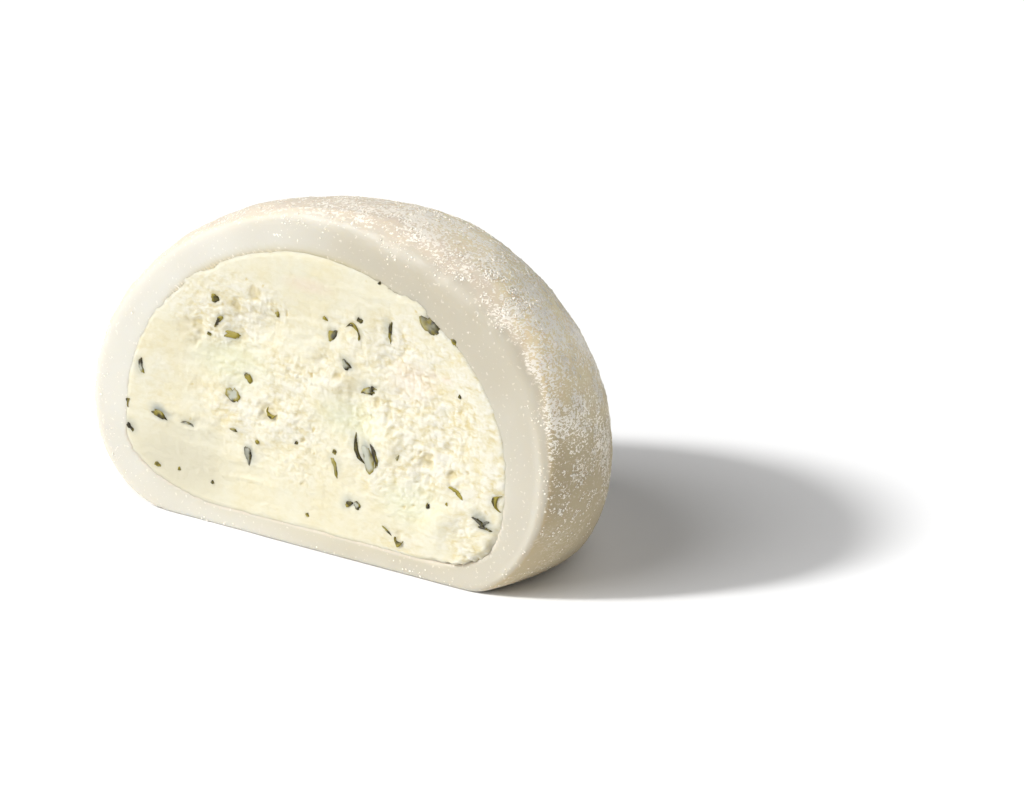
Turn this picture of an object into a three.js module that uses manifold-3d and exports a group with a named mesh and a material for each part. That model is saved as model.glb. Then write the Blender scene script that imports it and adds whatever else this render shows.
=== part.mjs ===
// Half of a filled mochi rice cake, standing on its flat base with the cut upright and facing -Y.
// Two pieces: the thick rice dough wrapper, open at the cut, and the crumbly herb cream filling that
// runs through it. Units are millimetres, +Z is up, and the origin is below the middle of the whole.

import * as THREE from 'three';
import { mergeVertices } from 'three/addons/utils/BufferGeometryUtils.js';
import Module from 'manifold-3d';

const wasm = await Module();
wasm.setup();

// ---- Driving dimensions ------------------------------------------------------------------------

// A rib is the outline of a dome in one direction, seen from above, from its foot on the base up to
// the crown. Ribs stand every 45 degrees: 0 runs to +X along the cut, 90 to the back, 180 to -X.
// reach: widest radius; belly: height of that widest place; foot: radius of the flat base.
// shoulder and crown bend the outline above the belly, heelOut and heelUp the one below it, where
// 2 is an ellipse and more is squarer.
const SKIN = {
  apexX: 0.6,
  floor: 0,
  height: 28.2,
  ribs: [
    { reach: 22.4, belly: 11.7, foot: 14.6, shoulder: 2.2, crown: 2.1, heelOut: 1.45, heelUp: 2.15 },
    { reach: 21.8, belly: 8.6, foot: 17.7, shoulder: 2.3, crown: 1.8, heelOut: 2.2, heelUp: 2.2 },
    { reach: 22.5, belly: 9.3, foot: 16.4, shoulder: 1.75, crown: 1.9, heelOut: 1.85, heelUp: 2.25 },
    { reach: 22.3, belly: 9.1, foot: 16.4, shoulder: 1.75, crown: 1.75, heelOut: 1.9, heelUp: 2.3 },
    { reach: 24.5, belly: 8.9, foot: 17.0, shoulder: 1.85, crown: 1.75, heelOut: 1.85, heelUp: 2.25 },
  ],
};
const CREAM = {
  apexX: -0.8,
  floor: 1.75,
  height: 22.2,
  ribs: [
    { reach: 18.8, belly: 8.8, foot: 8.0, shoulder: 2.2, crown: 1.9, heelOut: 4.0, heelUp: 2.65 },
    { reach: 18.8, belly: 7.2, foot: 10.0, shoulder: 2.2, crown: 1.9, heelOut: 3.2, heelUp: 2.5 },
    { reach: 18.9, belly: 7.4, foot: 11.0, shoulder: 1.9, crown: 1.9, heelOut: 2.6, heelUp: 2.4 },
    { reach: 18.6, belly: 6.2, foot: 10.0, shoulder: 1.8, crown: 2.0, heelOut: 2.3, heelUp: 2.2 },
    { reach: 18.7, belly: 4.6, foot: 8.0, shoulder: 1.7, crown: 2.3, heelOut: 2.1, heelUp: 1.9 },
  ],
};

// The knife draws the soft skin in at the cut, which rounds the rim.
const RIM_IN = 0.05; // share of the radius and the height that the skin is drawn in by at the cut
const RIM_DEPTH = 2.2; // distance behind the cut over which most of it is gone

const GAP = 0.3; // clearance between the dough and the filling
const CREAM_AHEAD = 1.2; // most that lumps of filling may stand out of the cut
const CAVITY_AHEAD = 3.0; // the hollow runs out through the cut

// Relief of the torn face of the filling, measured back from the cut.
const SET_BACK = 0.2; // at half height
const LEAN = 0.03; // more towards the top, where the dough overhangs it, per millimetre of height
const LUMP = 0.36; // depth of the crumb relief in its roughest places
const LUMP_SIZES = [3.4, 1.7]; // width of the two sizes of lump, the second half as deep
const SMOOTHED = 0.25; // share of the relief that is left where the knife dragged over it
const CELL = 0.68; // grid of the relief

// Crumbly places of the face: centre, half width, half height and how far the lumps come forward.
const CRUMBLY = [
  { x: 7.5, z: 13.5, across: 8.5, up: 6.5, forward: 0 },
  { x: -10.0, z: 17.6, across: 6.0, up: 4.0, forward: 0 },
  { x: 14.6, z: 4.2, across: 4.0, up: 2.4, forward: 0.45 },
  { x: -5.5, z: 10.0, across: 5.5, up: 3.5, forward: 0 },
];
const CRUMBLY_CORE = 0.65; // share of a crumbly place that is wholly so
const CRUMBLY_FADE = 1.5; // and where, in the same measure, nothing of it is left

// Chopped herb leaves on the face: centre, length, width and turn from +X towards +Z in degrees.
const HERBS = [
  { x: -10.1, z: 18.6, long: 0.8, wide: 0.6, turn: 0 },
  { x: -9.9, z: 16.7, long: 1.2, wide: 0.6, turn: 50 },
  { x: -8.6, z: 15.7, long: 1.6, wide: 0.6, turn: -5 },
  { x: 1.1, z: 17.7, long: 1.3, wide: 0.7, turn: 55 },
  { x: 3.2, z: 18.7, long: 1.4, wide: 0.8, turn: -10 },
  { x: 7.1, z: 19.2, long: 1.8, wide: 0.5, turn: 90 },
  { x: 10.8, z: 20.7, long: 1.9, wide: 1.2, turn: -55 },
  { x: 13.3, z: 19.7, long: 1.0, wide: 0.5, turn: -25 },
  { x: -7.2, z: 12.6, long: 0.9, wide: 0.7, turn: -10 },
  { x: -8.5, z: 11.0, long: 1.5, wide: 1.1, turn: -35 },
  { x: -19.0, z: 8.4, long: 0.9, wide: 0.5, turn: 60 },
  { x: -18.9, z: 6.4, long: 1.1, wide: 0.6, turn: -40 },
  { x: -15.9, z: 8.1, long: 1.9, wide: 0.8, turn: -10 },
  { x: -4.8, z: 10.2, long: 1.1, wide: 0.8, turn: -15 },
  { x: 4.4, z: 13.9, long: 2.2, wide: 0.7, turn: 15 },
  { x: -7.1, z: 6.5, long: 1.5, wide: 0.6, turn: -75 },
  { x: 1.3, z: 7.5, long: 1.7, wide: 0.7, turn: -60 },
  { x: 3.8, z: 9.1, long: 2.9, wide: 0.6, turn: -62 },
  { x: 5.2, z: 9.0, long: 2.3, wide: 0.8, turn: -69 },
  { x: 13.1, z: 7.8, long: 1.4, wide: 0.5, turn: -8 },
  { x: 2.8, z: 4.6, long: 1.1, wide: 0.6, turn: 40 },
  { x: 17.1, z: 7.9, long: 1.3, wide: 0.7, turn: 63 },
  { x: 15.8, z: 5.7, long: 2.2, wide: 0.9, turn: -10 },
  { x: 7.7, z: 2.8, long: 0.9, wide: 0.6, turn: -10 },
];
const HERB_STANDS_OUT = 0.22; // half thickness of a herb piece

const SAME = 1e-4; // corners closer than this are one corner
const TURN_STEPS = 44; // steps round a dome
const HEEL_STEPS = 8; // steps from the foot up to the belly
const CROWN_STEPS = 13; // steps from the belly up to the crown
const CROWN_EASE = 1.6; // above 1 the steps come closer together towards the crown
const EDGE_STEP = 0.25; // the steps next to the cut are this share of an even one

// ---- Domes ---------------------------------------------------------------------------------------

// Smooth curve through evenly spaced values, level at both ends.
function throughValues(values, place) {
  const last = values.length - 1;
  const from = Math.min(Math.floor(place), last - 1);
  const t = place - from;
  const slope = (k) => (k <= 0 || k >= last ? 0 : (values[k + 1] - values[k - 1]) / 2);
  const square = t * t;
  const cube = square * t;
  return values[from] * (2 * cube - 3 * square + 1)
    + slope(from) * (cube - 2 * square + t)
    + values[from + 1] * (3 * square - 2 * cube)
    + slope(from + 1) * (cube - square);
}

// The rib of a dome in any direction, from 0 at +X to pi at -X.
function ribAt(dome, turn) {
  const place = (turn / Math.PI) * (dome.ribs.length - 1);
  const rib = {};
  for (const key of Object.keys(dome.ribs[0])) {
    rib[key] = throughValues(dome.ribs.map((one) => one[key]), place);
  }
  return rib;
}

// Radius and height on a rib at one of its steps, from the foot to the crown.
function onRib(rib, height, step) {
  if (step <= HEEL_STEPS) {
    const t = (step / HEEL_STEPS) * (Math.PI / 2);
    return {
      radius: rib.foot + (rib.reach - rib.foot) * Math.sin(t) ** (2 / rib.heelOut),
      rise: rib.belly * (1 - Math.max(0, Math.cos(t)) ** (2 / rib.heelUp)),
    };
  }
  const left = 1 - (step - HEEL_STEPS) / CROWN_STEPS;
  const t = (1 - left ** CROWN_EASE) * (Math.PI / 2);
  const level = Math.max(0, Math.cos(t));
  return {
    radius: step === HEEL_STEPS + CROWN_STEPS ? 0 : rib.reach * level ** (2 / rib.shoulder),
    rise: rib.belly + (height - rib.belly) * Math.sin(t) ** (2 / rib.crown),
  };
}

// A point of a dome's skin, drawn in by the share rimIn at the cut.
function domePoint(dome, turn, step, rimIn) {
  const { radius, rise } = onRib(ribAt(dome, turn), dome.height, step);
  const y = turn >= Math.PI ? 0 : radius * Math.sin(turn);
  const drawn = 1 - rimIn * Math.exp(-y / RIM_DEPTH);
  return [dome.apexX + radius * Math.cos(turn) * drawn, y, (dome.floor + rise) * drawn];
}

// Directions round the dome, closer together next to the cut.
function turnAt(index) {
  const even = index / TURN_STEPS;
  const eased = even - ((1 - EDGE_STEP) * Math.sin(2 * Math.PI * even)) / (2 * Math.PI);
  return Math.PI * eased;
}

// Closed solid of a dome: its skin, the flat base and the upright cut. ahead carries the outline of
// the cut straight forward, out of the dome.
function domeSolid(dome, { rimIn = 0, ahead = 0 } = {}) {
  const steps = HEEL_STEPS + CROWN_STEPS;
  const rows = [];
  const addRow = (turn, shift) => {
    for (let step = 0; step <= steps; step += 1) {
      const [x, y, z] = domePoint(dome, turn, step, rimIn);
      rows.push(x, y + shift, z);
    }
  };
  if (ahead > 0) addRow(0, -ahead);
  for (let index = 0; index <= TURN_STEPS; index += 1) addRow(turnAt(index), 0);
  if (ahead > 0) addRow(Math.PI, -ahead);

  const rowLength = steps + 1;
  const last = rows.length / 3 / rowLength - 1;
  const at = (row, step) => row * rowLength + step;
  const faces = [];
  for (let row = 0; row < last; row += 1) {
    for (let step = 0; step < steps; step += 1) {
      faces.push(at(row, step), at(row + 1, step), at(row + 1, step + 1));
      faces.push(at(row, step), at(row + 1, step + 1), at(row, step + 1));
    }
    faces.push(at(0, 0), at(row + 1, 0), at(row, 0));
  }
  for (let step = 0; step < steps; step += 1) {
    faces.push(at(last, step), at(0, step), at(0, step + 1));
    faces.push(at(last, step), at(0, step + 1), at(last, step + 1));
  }
  const geometry = new THREE.BufferGeometry();
  geometry.setAttribute('position', new THREE.Float32BufferAttribute(rows, 3));
  geometry.setIndex(faces);
  return toSolid(geometry);
}

// ---- Solids and meshes -----------------------------------------------------------------------------

// Merges the shared vertices of a geometry, leaves out faces without area and makes a solid of it.
function toSolid(geometry) {
  const bare = geometry.clone();
  bare.deleteAttribute('normal');
  bare.deleteAttribute('uv');
  const merged = mergeVertices(bare, SAME);
  const index = merged.index.array;
  const triVerts = [];
  for (let k = 0; k < index.length; k += 3) {
    const [a, b, c] = [index[k], index[k + 1], index[k + 2]];
    if (a !== b && b !== c && c !== a) triVerts.push(a, b, c);
  }
  return new wasm.Manifold(new wasm.Mesh({
    numProp: 3,
    vertProperties: new Float32Array(merged.attributes.position.array),
    triVerts: new Uint32Array(triVerts),
  }));
}

function toMesh(name, solid, look) {
  const { vertProperties, triVerts } = solid.getMesh();
  const geometry = new THREE.BufferGeometry();
  geometry.setAttribute('position', new THREE.BufferAttribute(vertProperties, 3));
  geometry.setIndex(new THREE.BufferAttribute(triVerts, 1));
  geometry.computeVertexNormals();
  const mesh = new THREE.Mesh(geometry, new THREE.MeshStandardMaterial(look));
  mesh.name = name;
  return mesh;
}

// ---- Torn face of the filling ------------------------------------------------------------------------

// Repeatable random number from 0 to 1 for a cell of a grid: the usual sine hash.
function cellValue(column, row, seed) {
  const mixed = Math.sin(column * 127.1 + row * 311.7 + seed * 74.7) * 43758.5453;
  return mixed - Math.floor(mixed);
}

// Smooth random lumps from -1 to 1, one size across.
function lumps(x, z, size, seed) {
  const column = Math.floor(x / size);
  const row = Math.floor(z / size);
  const ease = (t) => t * t * (3 - 2 * t);
  const u = ease(x / size - column);
  const v = ease(z / size - row);
  const low = cellValue(column, row, seed) * (1 - u) + cellValue(column + 1, row, seed) * u;
  const high = cellValue(column, row + 1, seed) * (1 - u) + cellValue(column + 1, row + 1, seed) * u;
  return 2 * (low * (1 - v) + high * v) - 1;
}

// How much a place of the face belongs to a crumbly one: 1 inside, 0 well outside.
function within(place, x, z) {
  const away = Math.hypot((x - place.x) / place.across, (z - place.z) / place.up);
  return 1 - THREE.MathUtils.smoothstep(away, CRUMBLY_CORE, CRUMBLY_FADE);
}

// Where the face of the filling lies behind the cut, in front of it where negative.
function facePlace(x, z) {
  const middle = CREAM.floor + CREAM.height / 2;
  const crumbly = Math.max(...CRUMBLY.map((place) => within(place, x, z)));
  const forward = CRUMBLY.reduce((sum, place) => sum + place.forward * within(place, x, z), 0);
  const relief = LUMP_SIZES.reduce((sum, size, k) => sum + lumps(x, z, size, k + 1) / (k + 1), 0);
  const depth = LUMP * (SMOOTHED + (1 - SMOOTHED) * crumbly);
  return SET_BACK + LEAN * (z - middle) - forward + depth * relief;
}

// Block whose front is the torn face; what it shares with the dome is the filling.
function faceBlock() {
  const width = 2 * SKIN.ribs[0].reach;
  const height = SKIN.height;
  const depth = 2 * SKIN.ribs[2].reach;
  const block = new THREE.BoxGeometry(
    width, depth, height, Math.round(width / CELL), 1, Math.round(height / CELL),
  );
  block.translate(CREAM.apexX, depth / 2, height / 2);
  const place = block.attributes.position;
  for (let k = 0; k < place.count; k += 1) {
    if (place.getY(k) < SAME) place.setY(k, facePlace(place.getX(k), place.getZ(k)));
  }
  return toSolid(block);
}

// A chopped leaf, lying half sunk in the face.
function herb({ x, z, long, wide, turn }) {
  const leaf = new THREE.SphereGeometry(1, 6, 4);
  leaf.rotateX(Math.PI / 2);
  leaf.scale(long / 2, HERB_STANDS_OUT, wide / 2);
  leaf.rotateY(-THREE.MathUtils.degToRad(turn));
  leaf.translate(x, facePlace(x, z), z);
  return toSolid(leaf);
}

// ---- The two pieces ------------------------------------------------------------------------------------

// The wrapper: the skin's dome less the filling's, which is grown by the gap and runs out at the cut.
function doughSolid() {
  const hollow = {
    ...CREAM,
    floor: CREAM.floor - GAP,
    height: CREAM.height + 2 * GAP,
    ribs: CREAM.ribs.map((rib) => ({ ...rib, reach: rib.reach + GAP, foot: rib.foot + GAP })),
  };
  return domeSolid(SKIN, { rimIn: RIM_IN }).subtract(domeSolid(hollow, { ahead: CAVITY_AHEAD }));
}

// The filling: its dome, cut off by the torn face, with the herb leaves joined on.
function fillingSolid() {
  const room = domeSolid(CREAM, { ahead: CREAM_AHEAD });
  let filling = room.intersect(faceBlock());
  for (const piece of HERBS) filling = filling.add(herb(piece).intersect(room));
  return filling;
}

const mochi = new THREE.Group();
mochi.add(toMesh('dough', doughSolid(), { color: 0xefebe2, roughness: 0.55, metalness: 0 }));
mochi.add(toMesh('filling', fillingSolid(), { color: 0xf6efd3, roughness: 0.8, metalness: 0 }));

const extent = new THREE.Box3().setFromObject(mochi);
const middle = extent.getCenter(new THREE.Vector3());
mochi.position.set(-middle.x, -middle.y, -extent.min.z);
mochi.updateMatrixWorld(true);

export default mochi;
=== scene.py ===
import itertools
import math
from collections import namedtuple

import bpy
import numpy as np
from bpy.props import FloatProperty, FloatVectorProperty, IntProperty, PointerProperty
from mathutils import Color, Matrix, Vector
from mathutils.bvhtree import BVHTree


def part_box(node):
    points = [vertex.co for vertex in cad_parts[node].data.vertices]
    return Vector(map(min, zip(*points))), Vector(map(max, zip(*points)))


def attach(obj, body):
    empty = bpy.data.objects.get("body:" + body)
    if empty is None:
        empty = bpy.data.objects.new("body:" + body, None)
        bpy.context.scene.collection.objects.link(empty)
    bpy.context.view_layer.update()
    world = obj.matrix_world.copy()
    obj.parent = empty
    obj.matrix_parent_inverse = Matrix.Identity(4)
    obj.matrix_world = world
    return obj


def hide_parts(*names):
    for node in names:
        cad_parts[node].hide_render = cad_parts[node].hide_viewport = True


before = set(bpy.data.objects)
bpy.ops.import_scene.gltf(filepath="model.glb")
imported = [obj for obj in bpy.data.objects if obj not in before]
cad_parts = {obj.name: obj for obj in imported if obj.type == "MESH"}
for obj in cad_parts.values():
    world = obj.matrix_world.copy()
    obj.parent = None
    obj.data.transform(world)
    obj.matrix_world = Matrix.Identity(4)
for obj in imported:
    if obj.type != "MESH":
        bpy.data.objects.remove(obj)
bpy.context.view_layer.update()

bl_info = {
    "name": "Mochi half",
    "version": (1, 0, 0),
    "blender": (4, 5, 0),
    "location": "3D View > Sidebar > Mochi",
    "description": "Half of a cut rice cake: soft dough, crumbly herb cream and starch dust",
    "category": "Add Mesh",
}

MM = 0.001
BODY = "root"

# ---- The cut, from the frame ----
# Places on the cut are in millimetres: x to the right from the middle of the cut, z up from the
# floor, and depth back from the plane of the cut.

CUT_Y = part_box("dough")[0].y / MM  # plane of the cut
CUT_X = 0.41  # middle of the cut
HEART_X, HEART_Z = -0.8, 9.2  # inside the filling at every depth, so outlines are rays from here
FLOOR_OF_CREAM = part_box("filling")[0].z / MM
TOP_OF_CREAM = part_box("filling")[1].z / MM

# The torn face of the filling has the same large lumps as its solid.
SET_BACK = 0.2
LEAN = 0.03
LUMP = 0.36
LUMP_SIZES = (3.4, 1.7)
SMOOTHED = 0.25
LUMPY = (  # x, z, half width, half height, how far the lumps come forward
    (7.5, 13.5, 8.5, 6.5, 0.0),
    (-10.0, 17.6, 6.0, 4.0, 0.0),
    (14.6, 4.2, 4.0, 2.4, 0.45),
    (-5.5, 10.0, 5.5, 3.5, 0.0),
)

# Where the cream crumbled under the knife: x, z, half width, half height, how rough.
CRUMBLY = (
    (10.0, 13.0, 7.5, 7.0, 1.0),
    (4.0, 15.5, 4.5, 3.6, 0.85),
    (15.8, 11.5, 2.6, 4.5, 0.9),
    (-9.0, 17.8, 5.5, 3.0, 0.8),
    (-4.5, 11.0, 6.0, 4.2, 0.7),
    (14.8, 4.2, 3.6, 2.2, 1.0),
    (-1.8, 7.6, 3.4, 2.2, 0.5),
    (7.3, 2.6, 3.4, 1.0, 0.5),
    (-16.5, 10.5, 2.0, 4.0, 0.2),
)
# Small hollows, with painted shade of deeper yellow cream in them: x, z, radius, depth.
HOLLOWS = (
    (-13.2, 15.5, 0.9, 0.32),
    (-12.0, 16.2, 0.7, 0.28),
    (-4.8, 10.4, 0.75, 0.45),
    (-11.8, 11.4, 1.0, 0.15),
    (-8.2, 18.4, 0.45, 0.3),
    (-6.2, 19.6, 0.6, 0.3),
    (-1.8, 8.6, 0.35, 0.3),
    (-1.6, 5.4, 0.4, 0.2),
    (1.4, 14.6, 0.4, 0.25),
    (5.4, 12.9, 0.5, 0.3),
    (10.4, 9.8, 0.5, 0.3),
    (12.6, 8.9, 0.45, 0.3),
    (7.6, 2.9, 0.6, 0.25),
)
# Where the cream's edge is ragged, and where it swells over the dough.
RAGGED = ((9.5, 21.5, 4.0, 2.5), (14.8, 3.6, 4.5, 2.8), (-13.0, 18.0, 4.5, 3.5))
SPILLED = (14.6, 3.0, 4.0, 2.0)
FACE_EDGE = 0.45  # the face reaches this far past the solid's outline, into the dough
EDGE_STARTS = -0.4  # where, from that outline, it begins to dip into the dough
EDGE_PROUD = -0.07  # its level before that, just in front of the dough
LIP_TURN = 1.85  # direction, seen from the heart, in which a lip of dough hangs over the cream; its shadow is painted on the dough
# Faint tints in the cream: x, z, half width, half height.
PINK_TINTS = (
    (8.8, 15.7, 2.6, 1.8),
    (10.7, 16.5, 0.6, 0.5),
    (12.2, 16.4, 0.8, 0.4),
    (-1.0, 21.3, 2.5, 0.7),
)
GREEN_TINTS = ((-8.7, 13.6, 4.0, 2.2), (3.1, 11.3, 4.0, 2.0), (8.9, 6.0, 3.4, 2.0))
# Where the cream is painted darker low on the left, painted shade, in the same terms.
SHADED_CREAM = ((-14.0, 4.5, 6.0, 3.6),)

# How far the cut dough has its darker colour, partly its deeper tone and partly painted shade away from
# the light: direction in radians seen from the heart, share.
DEEP_AND_SHADED_DOUGH = (
    (-3.14, 0.0), (-2.6, 0.26), (-1.6, 0.6), (-0.6, 0.8), (0.1, 0.7), (0.5, 0.95),
    (0.9, 1.0), (1.3, 0.85), (1.7, 0.32), (2.2, 0.0), (3.14, 0.0),
)
# Radius in mm to which the outer edge of the cut is rounded: direction, radius.
ROUNDED_RIM = ((-0.25, 0.0), (0.25, 1.0), (0.6, 2.2), (0.9, 3.0), (1.2, 2.6), (1.65, 1.2), (2.1, 0.0))

TO_LIGHT = np.array((-0.44, -0.65, 0.62))  # the bare skin and its starch film are painted darker where they face this way, toward the key light: painted shade on the lit side
RUBBED_TOWARD_LIGHT = np.array((-0.74, -0.45, 0.5))  # the skin that faces this way, toward the lights, has less starch: partly rubbed off, partly painted shade on the lit side
# Where glints are painted on the cut dough as bright white specks: x, z, half width, half height.
GLINT_PLACES = (
    (12.6, 21.8, 1.8, 0.9),
    (14.8, 20.8, 1.2, 0.9),
    (10.8, 23.2, 1.6, 0.8),
    (7.8, 24.6, 1.6, 0.6),
    (-3.6, 24.8, 2.6, 0.5),
    (-13.6, 22.6, 1.8, 0.7),
    (-9.4, 24.4, 1.4, 0.5),
)

Herb = namedtuple("Herb", "x z long wide turn form pale halo gold", defaults=(0.6,))
# Chopped leaves: place, length and width in mm, turn in degrees from +X towards +Z, form, how pale
# the cream over it makes its middle, how much of it shows grey through the cream around, and how
# golden it is.
HERBS = tuple(Herb(*row) for row in (
    (-10.1, 18.6, 0.6, 0.45, 0, "flake", 0.1, 0.1, 0.3),
    (-9.9, 16.7, 1.2, 0.5, 51, "strip", 0.0, 0.15, 0.5),
    (-10.9, 15.5, 0.6, 0.25, -5, "strip", 0.1, 0.0, 0.9),
    (-8.6, 15.7, 1.6, 0.5, -14, "strip", 0.1, 0.1, 1),
    (-4.3, 18.3, 0.55, 0.3, 80, "flake", 0.4, 0.0, 0.8),
    (0.4, 18.9, 0.6, 0.3, 10, "bow", 0.2, 0.0, 1),
    (1.1, 17.7, 1.3, 0.55, 54, "flake", 0.3, 0.1, 0.8),
    (3.9, 19.5, 0.65, 0.4, -15, "flake", 0.0, 0.1, 0.7),
    (3.2, 18.6, 2.1, 0.42, -12, "arch", 0.1, 0.1, 0.7),
    (2.5, 15.6, 1.2, 0.6, -35, "flake", 0.7, 0.5, 0.3),
    (6.8, 19.2, 1.9, 0.26, 84, "strip", 0.0, 0.6, 0.0),
    (10.8, 20.5, 2.0, 0.95, -61, "cup", 0.45, 0.0, 0.45),
    (13.1, 19.6, 1.3, 0.4, -52, "strip", 0.2, 0.1, 0.8),
    (6.0, 22.9, 0.3, 0.25, 0, "flake", 0.0, 0.0, 0.2),
    (-7.2, 12.6, 0.95, 0.6, -28, "flake", 0.15, 0.1, 0.4),
    (-8.5, 11.0, 1.7, 1.0, -50, "cup", 0.95, 0.15, 0.7),
    (-17.6, 11.6, 1.1, 0.35, 98, "strip", 0.85, 0.4, 0.2),
    (-19.0, 8.4, 0.95, 0.3, 61, "arch", 0.1, 0.1, 0.4),
    (-18.9, 6.3, 1.1, 0.45, -42, "strip", 0.1, 0.5, 0.4),
    (-15.9, 7.9, 1.8, 0.45, -18, "strip", 0.1, 1.0, 0.25),
    (-13.0, 7.7, 1.2, 0.14, -8, "strip", 0.7, 0.3, 0.2),
    (-16.1, 3.8, 0.7, 0.3, -20, "strip", 0.2, 0.0),
    (-4.8, 10.2, 1.3, 0.35, 165, "arch", 0.2, 0.0, 0.9),
    (4.4, 13.9, 2.1, 0.5, 14, "strip", 0.55, 0.6, 0.2),
    (5.1, 14.2, 0.8, 0.3, 40, "arch", 0.0, 0.0, 0.4),
    (13.5, 15.4, 0.4, 0.35, 0, "flake", 0.1, 0.0),
    (-8.3, 8.2, 0.8, 0.25, -10, "strip", 0.4, 0.1),
    (-7.1, 6.5, 1.5, 0.5, -74, "strip", 0.6, 0.6, 0.1),
    (-6.2, 7.7, 0.35, 0.3, 60, "flake", 0.0, 0.0),
    (-2.4, 8.4, 0.4, 0.3, 0, "flake", 0.2, 0.0),
    (1.4, 8.5, 0.4, 0.35, 0, "flake", 0.1, 0.0),
    (1.3, 7.5, 1.7, 0.45, -59, "strip", 0.3, 0.35, 0.7),
    (3.75, 9.2, 3.0, 0.38, 116, "bow", 0.1, 0.2, 0.1),
    (4.5, 8.9, 2.2, 0.9, -66, "flake", 1.0, 1.0),
    (5.3, 9.0, 2.4, 0.45, -70, "bow", 0.1, 0.2, 0.25),
    (7.7, 9.4, 0.7, 0.25, 80, "strip", 0.5, 0.1),
    (13.1, 7.8, 1.4, 0.4, -24, "strip", 0.2, 0.0, 1),
    (10.6, 6.2, 0.4, 0.38, 0, "flake", 0.0, 0.0, 0.2),
    (12.4, 6.7, 0.28, 0.22, 0, "flake", 0.0, 0.0),
    (2.9, 4.6, 1.0, 0.35, 45, "bow", 0.1, 0.4),
    (3.7, 4.7, 0.7, 0.5, 0, "cup", 0.9, 0.1),
    (-1.2, 2.9, 0.4, 0.32, 100, "flake", 0.0, 0.0),
    (17.1, 7.9, 1.6, 0.4, 75, "arch", 0.2, 0.3),
    (15.4, 6.0, 1.4, 0.3, -32, "strip", 0.3, 0.8, 0.1),
    (16.1, 5.5, 1.6, 0.26, -8, "strip", 0.3, 0.7, 0.1),
    (16.0, 5.9, 0.9, 0.2, 30, "strip", 0.4, 0.3, 0.1),
    (7.7, 2.6, 1.0, 0.3, 170, "arch", 0.1, 0.0, 0.8),
    (6.6, 3.3, 1.1, 0.14, -34, "strip", 0.3, 0.0),
    (-13.9, 3.9, 0.35, 0.3, 0, "flake", 0.2, 0.0),
    (-10.6, 3.5, 0.35, 0.25, 0, "flake", 0.3, 0.0),
))
# How a leaf is shaped: bend along it in degrees, height of its raised rim, raggedness of its edge.
LEAF_FORMS = {
    "flake": (10, 0.02, 0.62),
    "strip": (30, 0.02, 0.68),
    "bow": (75, 0.02, 0.50),
    "arch": (165, 0.14, 0.35),
    "cup": (12, 0.08, 0.60),
}

CAMERA = {
    "azimuth": 39.0,
    "elevation": 20.2,
    "distance": 500.0,
    "lens": 229.4,
    "foot_px": (318.5, 551.2),  # where the foot of the middle of the cut lies in the picture
    "picture_px": (1024, 795),
}
SENSOR = 36.0
# Soft suns: azimuth from the front, to the left where negative, elevation, how wide it looks in the
# sky, all in degrees, and how strong it is.
SUNS = {
    "key": (-34.0, 38.0, 8.0, 2.76),
    "window": (-30.0, 36.0, 60.0, 2.15),
    "back window": (120.0, 45.0, 90.0, 0.93),
}
SKY = 0.045  # strength of the even light from all sides
FLOOR_WIDTH = 6.0  # metres


# ---- Small helpers ----


def linear(code):
    """An sRGB hex colour as the linear colour that Blender works in."""
    parts = [int(code[k : k + 2], 16) / 255 for k in (1, 3, 5)]
    return tuple(c / 12.92 if c <= 0.04045 else ((c + 0.055) / 1.055) ** 2.4 for c in parts)


def rise(value, low, high):
    """0 below low, 1 above high and a soft rise between them."""
    share = np.clip((value - low) / (high - low), 0.0, 1.0)
    return share * share * (3 - 2 * share)


def fall(value, low, high):
    """1 below low, 0 above high and a soft fall between them."""
    return 1 - rise(value, low, high)


def columns(*values):
    """A table with these arrays as its columns."""
    return np.stack(values, axis=1)


def only(obj):
    """Selects this object alone and makes it the active one."""
    bpy.ops.object.select_all(action="DESELECT")
    obj.select_set(True)
    bpy.context.view_layer.objects.active = obj


def add_object(name, data):
    """A new object in the scene, at the origin."""
    obj = bpy.data.objects.new(name, data)
    bpy.context.scene.collection.objects.link(obj)
    return obj


def add_primitive(kind, **settings):
    """Adds a primitive of this kind with nothing else selected."""
    bpy.ops.object.select_all(action="DESELECT")
    getattr(bpy.ops.mesh, kind)(**settings)
    return bpy.context.object


def modify(obj, kind, **settings):
    """Adds a modifier with its settings and applies it."""
    only(obj)
    modifier = obj.modifiers.new(kind.title(), kind)
    for name, value in settings.items():
        setattr(modifier, name, value)
    bpy.ops.object.modifier_apply(modifier=modifier.name)


def edit(obj, *steps):
    """Runs edit mode steps on an object, each a function or an operator call without arguments."""
    only(obj)
    bpy.ops.object.mode_set(mode="EDIT")
    for step in steps:
        step()
    bpy.ops.object.mode_set(mode="OBJECT")


def weld(obj, distance_mm, *steps):
    """Merges the vertices of an object that lie together, then runs more edit mode steps."""
    edit(
        obj,
        lambda: bpy.ops.mesh.select_all(action="SELECT"),
        lambda: bpy.ops.mesh.remove_doubles(threshold=distance_mm * MM),
        *steps,
    )


def read(items, name, width=3, kind=np.float32):
    """One row of numbers for each vertex, edge or face."""
    flat = np.empty(len(items) * width, kind)
    items.foreach_get(name, flat)
    return flat.reshape(-1, width)


def read_points(mesh):
    """The vertices of a mesh in millimetres."""
    return read(mesh.vertices, "co").astype(float) / MM


def read_normals(mesh):
    return read(mesh.vertices, "normal").astype(float)


def triangles(mesh):
    """The corner numbers of the mesh's triangles."""
    mesh.calc_loop_triangles()
    return read(mesh.loop_triangles, "vertices", 3, np.int32)


def write_points(mesh, points):
    mesh.vertices.foreach_set("co", (points * MM).astype(np.float32).ravel())
    mesh.update()


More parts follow.
